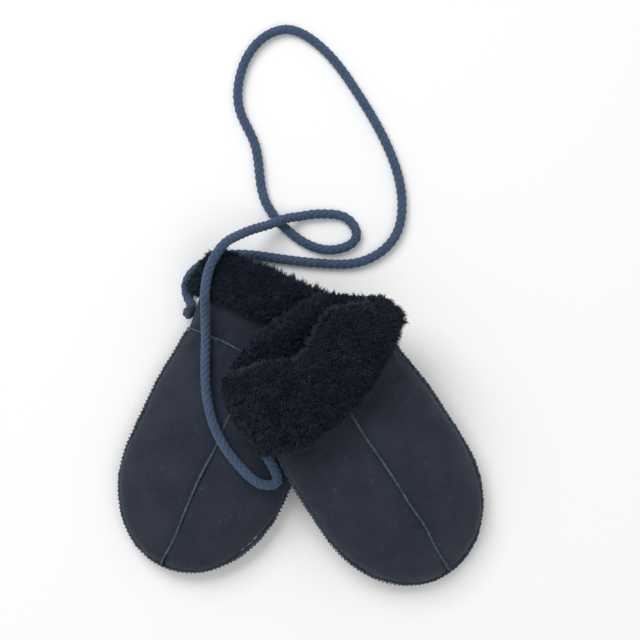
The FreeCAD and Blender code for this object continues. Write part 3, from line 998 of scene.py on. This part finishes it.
def braid(first, last):
    """The braided strands and their core between two steps of the cord's line."""
    span = slice(first, last)
    centre, run = LINE[span], LINE_RUN[span]
    normal, side = LINE_FRAME[1][span], LINE_FRAME[2][span]
    mean = CORD_RADIUS - STRAND_HALF_THICKNESS - STRAND_WAVE + 0.05
    wave = STRAND_WAVE * np.cos(CARRIERS * TURN * run / BRAID_PITCH)
    ring = np.arange(8) * TURN / 8
    parts = []
    for way in (1, -1):
        for carrier in range(CARRIERS):
            turn = way * TURN * run / BRAID_PITCH + TURN * carrier / CARRIERS
            out = normal * np.cos(turn)[:, None] + side * np.sin(turn)[:, None]
            strand = centre + out * (mean + way * wave)[:, None]
            wide = unit(np.cross(unit(np.gradient(strand, axis=0)), out))
            sections = (strand[:, None]
                        + wide[:, None] * (STRAND_HALF_WIDTH * np.cos(ring))[None, :, None]
                        + out[:, None] * (STRAND_HALF_THICKNESS * np.sin(ring))[None, :, None])
            parts.append(outward(tube(sections)))
    core = (normal[:, None] * np.cos(ring)[None, :, None]
            + side[:, None] * np.sin(ring)[None, :, None]) * (mean - 0.3)
    parts.append(outward(tube(centre[:, None] + core)))
    return joined(parts)


def nearest_step(point):
    return int(np.argmin(np.linalg.norm(LINE - point, axis=1)))


def cord():
    """The whole cord in three lengths."""
    twist_left = np.array(joints["cord_left_twist"]["pos_m"]) / MM
    twist_right = np.array(joints["cord_right_twist"]["pos_m"]) / MM
    lift = np.array(joints["cord_loop_lift"]["pos_m"]) / MM
    left_cut = nearest_step(twist_left + [0, JOINT_REACH, 0])
    right_cut = nearest_step(twist_right + [JOINT_REACH, 0, 0])
    last = len(LINE)
    left = piece("cord_at_left_mitten", braid(0, left_cut), YARN)
    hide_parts("cord_left_end")
    bend(left, "left_mitten", "cord", twist_left, [0, JOINT_REACH, 0])
    middle = piece("cord_long_run", braid(left_cut - 1, right_cut), YARN)
    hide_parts("cord_cross_run", "cord_long_loop", "cord_short_loop")
    bend(middle, "cord", "cord_loop", lift, [0, 2 * JOINT_REACH, 0])
    right = piece("cord_at_right_mitten", braid(right_cut - 1, last), YARN)
    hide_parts("cord_right_end")
    bend(right, "right_mitten", "cord", twist_right, [JOINT_REACH, 0, 0])
    whipping("left", WHIPPING_INSET, "left_mitten")
    whipping("right", LINE_RUN[-1] - WHIPPING_LENGTH - WHIPPING_INSET, "right_mitten")


def bend(made, first, second, centre, reach):
    """Bakes the piece's placement into its mesh."""
    reach = np.array(reach)
    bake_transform(made)


def whipping(name, start, body):
    """Turns of thread bound tightly round the cord's sewn end."""
    share = np.linspace(0, 1, WHIPPING_TURNS * 20)
    run = start + share * WHIPPING_LENGTH
    place = [np.stack([np.interp(run, LINE_RUN, part[:, k]) for k in range(3)], 1)
             for part in (LINE, LINE_FRAME[1], LINE_FRAME[2])]
    angle = (share * WHIPPING_TURNS * TURN)[:, None]
    coil = place[0] + (place[1] * np.cos(angle) + place[2] * np.sin(angle)) * (CORD_RADIUS + 0.25)
    made = piece(name + "_whipping_thread", round_tube(coil, 0.36, 8), THREAD)
    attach(made, body)
    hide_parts(name + "_cord_whipping")


# ---------------------------------------------------------------- light, floor and camera

CAMERA_TARGET = (64.4, 84.1, 0.0)
CAMERA_DISTANCE = 950.0
CAMERA_ELEVATION = 84.0
CAMERA_ANGLE = 22.85


def add_camera():
    lens = bpy.data.cameras.new("camera")
    lens.angle = math.radians(CAMERA_ANGLE)
    camera = bpy.data.objects.new("camera", lens)
    bpy.context.scene.collection.objects.link(camera)
    tilt = math.radians(CAMERA_ELEVATION)
    back = Vector((0, -math.cos(tilt), math.sin(tilt)))
    camera.location = (Vector(CAMERA_TARGET) + back * CAMERA_DISTANCE) * MM
    camera.rotation_euler = back.to_track_quat("Z", "Y").to_euler()
    bpy.context.scene.camera = camera


def add_light(name, place, size, power):
    """A square soft light that faces the table's middle."""
    lamp = bpy.data.lights.new(name, "AREA")
    lamp.size = size
    lamp.energy = power
    made = bpy.data.objects.new(name, lamp)
    bpy.context.scene.collection.objects.link(made)
    made.location = place
    made.rotation_euler = (Vector(place) - Vector(CAMERA_TARGET) * MM).to_track_quat("Z", "Y").to_euler()


def add_stage():
    half = 3.0
    corners = np.array([[-half, -half, 0], [half, -half, 0], [half, half, 0], [-half, half, 0]])
    below = 0.2
    mesh = (corners / MM - [0, 0, below], [np.array([[0, 1, 2, 3]])])
    floor = piece("floor", mesh, floor_material())
    world = bpy.data.worlds.new("studio")
    bpy.context.scene.world = world
    world.use_nodes = True
    background = world.node_tree.nodes["Background"]
    background.inputs["Color"].default_value = (1.0, 1.0, 1.0, 1.0)
    background.inputs["Strength"].default_value = 0.44
    add_light("softbox_back_left", (-0.7, 1.0, 1.5), 1.2, 23)
    add_light("softbox_front", (0.5, -0.6, 1.6), 1.4, 8)
    bpy.context.scene.view_settings.view_transform = "Standard"


# ---------------------------------------------------------------- everything

def build_mitten(mitten):
    body_panels(mitten)
    centre_seam(mitten)
    edge_seam(mitten)
    wrist_seam(mitten)
    cuff_sleeve(mitten)
    cuff_lining(mitten)
    cuff_flap(mitten, front=True)
    cuff_flap(mitten, front=False)


build_mitten(Mitten("left", LEFT_CUFF))
build_mitten(Mitten("right", RIGHT_CUFF))
cord()
add_stage()
add_camera()
